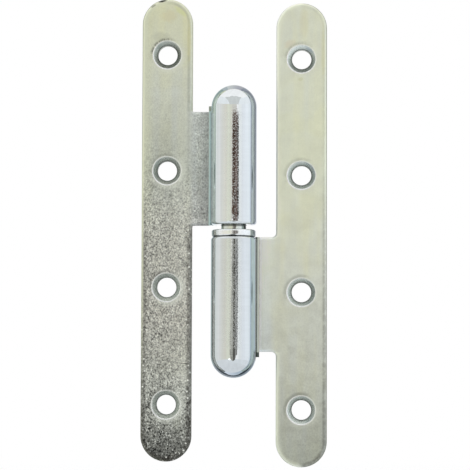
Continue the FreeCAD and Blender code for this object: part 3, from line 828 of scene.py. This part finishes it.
add_camera()
add_world()
add_floor()
add_lamp("lamp_left", -45, 25, 1.6, 1.2, 1.2, 1.2, (1.0, 1.0, 0.97))
add_lamp("lamp_right", 55, 25, 1.6, 1.2, 1.2, 0.9, (0.96, 0.98, 1.0))
add_lamp("lamp_top", 0, 85, 1.5, 1.4, 1.4, 0.9, (1.0, 1.0, 1.0))
LEFT_WALL = [
    (-99, (0.75, 0.78, 0.75)), (-75, (0.80, 0.80, 0.79)), (-56, (0.74, 0.735, 0.68)),
    (-40, (0.76, 0.73, 0.65)), (-24, (0.77, 0.785, 0.66)), (-7, (0.72, 0.70, 0.61)),
]
RIGHT_WALL = [
    (27, (0.91, 0.93, 0.91)), (48, (0.83, 0.86, 0.90)), (65, (0.89, 0.93, 0.98)),
    (84, (0.87, 0.92, 0.96)), (100, (0.72, 0.78, 0.83)),
]
add_card("card_left", [(-400, -97, -7), (330, -97, -7)], LEFT_WALL)
add_card("card_right", [(-400, 27, 99), (330, 27, 99)], RIGHT_WALL)
add_card("card_above_flag", [(151, -7, 17), (330, -7, 17)], [(-7, (0.70, 0.68, 0.61)), (17, (0.72, 0.70, 0.66))])
add_card("card_low", [(-950, -99, 99), (-400, -99, 99)], [(-99, (0.74, 0.77, 0.79)), (99, (0.78, 0.82, 0.86))])
add_card("card_high", [(330, -99, 99), (950, -99, 99)], [(-99, (0.86, 0.89, 0.90)), (99, (0.88, 0.92, 0.95))])
add_ground_card("card_ground", (0.73, 0.76, 0.79))
add_card("flag_low", [
    (-560, -3, 3), (-430, -8, 12), (-300, -11, 14), (-60, -13, 18), (-29, -15, 24), (3, -7, 26), (48, -5, 26),
    (56, 1, 21),
], [(-15, (0.37, 0.37, 0.33)), (1, (0.36, 0.36, 0.32)), (4, (0.07, 0.065, 0.055)), (9, (0.06, 0.06, 0.05)),
    (12, (0.33, 0.33, 0.31)), (18, (0.21, 0.21, 0.20)), (27, (0.17, 0.18, 0.17))], 0.95, 0.5)
add_card("flag_high", [
    (56, 1, 21), (65, 0, 24), (70, -9, 30), (76, -6, 28), (144.5, -5.5, 27), (149.5, -3, 24), (150.4, 4, 18),
], [(-8, (0.14, 0.095, 0.07)), (1, (0.085, 0.05, 0.035)), (8, (0.09, 0.055, 0.045)), (15, (0.17, 0.12, 0.105)),
    (22, (0.06, 0.045, 0.035)), (29, (0.06, 0.05, 0.05))], 0.95, 0.6)
add_back_band("band_right", (-72, 60), (100, 152), (0.42, 0.43, 0.42))
add_back_band("band_top", (72, 108), (101, 152), (0.72, 0.69, 0.66), 1.05)
add_back_band("band_shoulders", (60, 120), (101, 152), (0.52, 0.53, 0.53))
add_back_band("band_left", (120, 252), (100, 152), (0.35, 0.41, 0.38))
add_back_band("band_foot", (-152, -28), (113, 130), (0.07, 0.08, 0.09), 1.05)
add_back_band("band_foot_edge", (-152, -28), (129, 152), (0.34, 0.36, 0.37), 1.05)
add_patch("fixture", (2, 42), [
    (-20, 17), (-31, 33), (-58, 46), (-30, 50), (-12, 58), (3, 54), (16, 57), (32, 51), (52, 47), (33, 33), (25, 17),
], (0.66, 0.68, 0.67))
add_patch("spark", (-18, -22), [(-22, -25), (-23, -20), (-17, -17), (-12, -22), (-13, -27)], (1.6, 1.6, 1.6))

dress("female_leaf", leaf_material("female_leaf", "female_leaf_zinc"))
dress("male_leaf", leaf_material("male_leaf", "male_leaf_zinc"))
pin_low, pin_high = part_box("hinge_pin")
ring_low, ring_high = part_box("bearing_ring")
upper_low, upper_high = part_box("female_leaf")
PIN_RADIUS = pin_high.x * 1000
RING_RADIUS = ring_high.x * 1000
ring_foot = ring_low.z * 1000
knuckle_foot = ring_high.z * 1000 + 1.45
# The pin: painted shade on its flanks, and a painted shadow at its top under the upper knuckle
dress("hinge_pin", turned_material(
    "pin_steel", (230, 234, 226), (140, 142, 134), 0.12,
    [(-PIN_RADIUS * 0.84, (0.45, 0.52, 0.52, 1)), (PIN_RADIUS * 0.64, (0.44, 0.48, 0.50, 1)),
     (PIN_RADIUS * 0.80, (0.10, 0.12, 0.13, 1))],
    (knuckle_foot - 0.7, knuckle_foot - 0.3)))
# The ring: painted shade on its flanks and at its foot, and a painted dark reflection below its middle
dress("bearing_ring", turned_material(
    "ring_zinc", (252, 254, 254), (176, 178, 172), 0.08,
    [(-RING_RADIUS * 0.62, (0.82, 0.83, 0.83, 1)), (-RING_RADIUS * 0.71, (0.82, 0.84, 0.84, 1)),
     (-RING_RADIUS * 0.82, (0.84, 0.87, 0.90, 1)), (RING_RADIUS * 0.77, (0.34, 0.38, 0.42, 1))],
    (ring_foot + 0.32, ring_foot + 0.12), (0.0, ring_foot + 0.1, 1.4, 0.38)))
